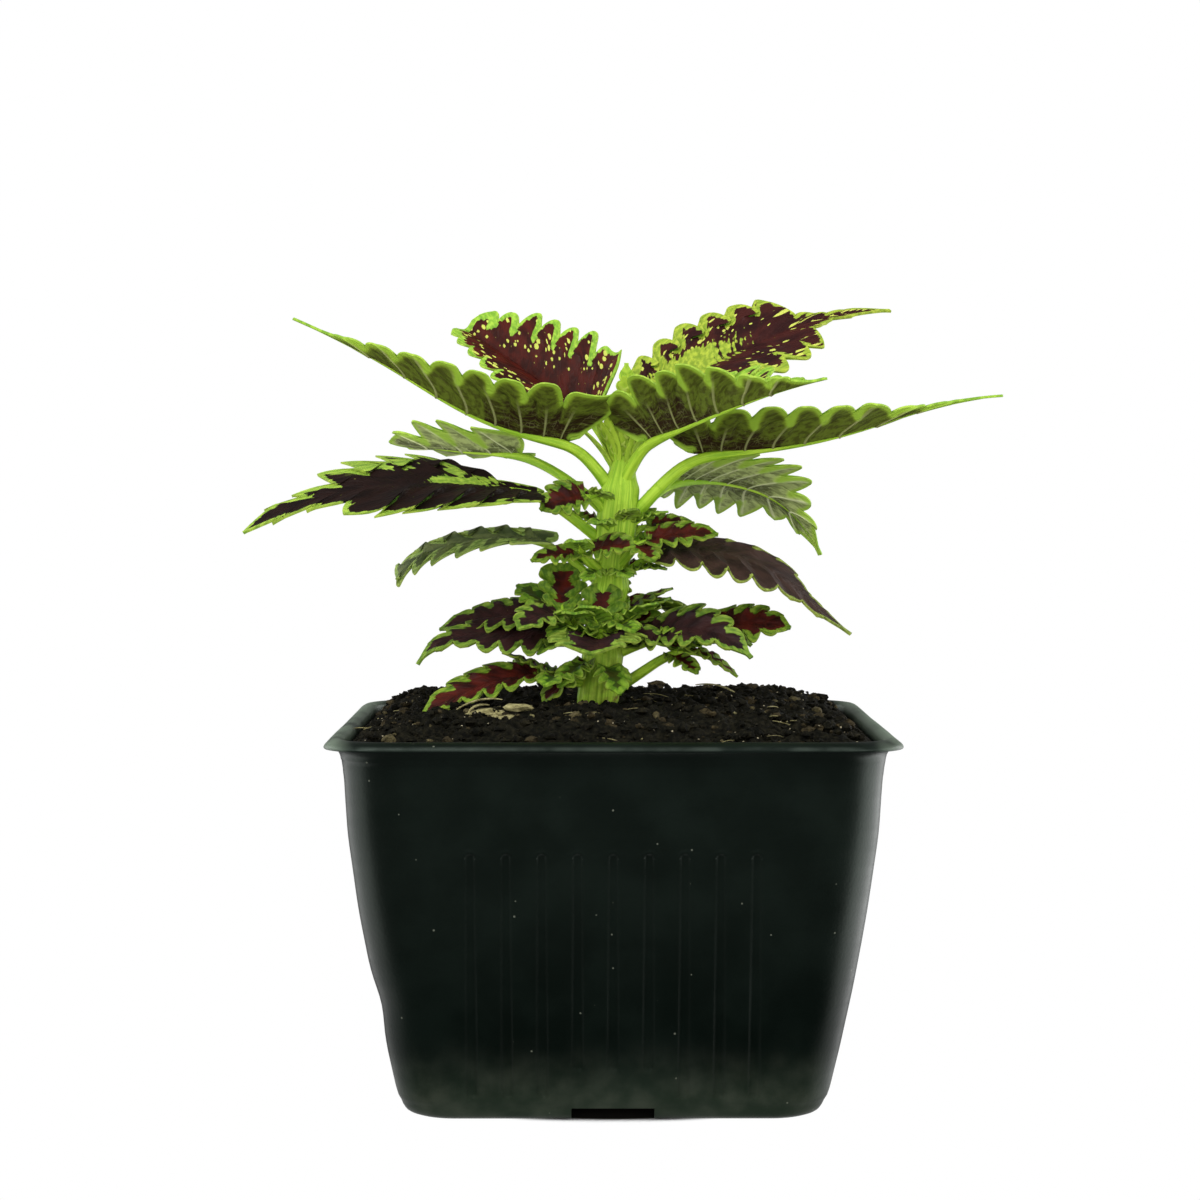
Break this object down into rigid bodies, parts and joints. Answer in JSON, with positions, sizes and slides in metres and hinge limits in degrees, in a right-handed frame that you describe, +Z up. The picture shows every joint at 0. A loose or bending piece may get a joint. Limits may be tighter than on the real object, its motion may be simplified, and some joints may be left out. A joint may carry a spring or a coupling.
{
  "type": "potted coleus",
  "caption": "Potted coleus: a fleshy square stem with toothed variegated leaves and leafy side shoots, in potting soil in a square plastic nursery pot.",
  "frame": {"origin": "middle of the pot's base, on the surface that the pot stands on", "axes": "+Z up along the pot; -Y towards the viewer of the picture, +X to the viewer's right"},
  "size_m": [0.1635, 0.1208, 0.1765],
  "materials": {
    "pot": "thin moulded plastic, dark green-black, satin with soft dents and dust",
    "soil": "loose dark potting mix with fibres and bits of bark",
    "stem": "fleshy green stem with lengthwise ridges",
    "leaf": "soft quilted leaf, maroon in the middle and lime green round the margin",
    "young_leaf": "small soft leaves, brick red in the middle and green round the margin"
  },
  "bodies": {
    "root": {"pot": "pot", "soil": "soil", "main_stem": "stem", "leaf_top_left": "leaf", "leaf_top_left_back": "leaf", "leaf_top_right_back": "leaf", "leaf_top_right_front": "leaf", "leaf_middle_right": "leaf", "leaf_middle_left_back": "leaf", "leaf_middle_right_back": "leaf", "leaf_middle_left": "leaf", "leaf_lower_left": "leaf", "leaf_lower_right": "leaf", "shoot_upper_left": "young_leaf", "shoot_middle_left": "young_leaf", "shoot_middle_right": "young_leaf", "shoot_upper_right": "young_leaf", "shoot_low_left": "young_leaf", "shoot_low_front": "young_leaf", "shoot_low_right": "young_leaf", "shoot_base_right": "young_leaf", "shoot_base_left": "young_leaf", "shoot_low_back": "young_leaf", "growing_tip": "young_leaf"}
  },
  "joints": []
}
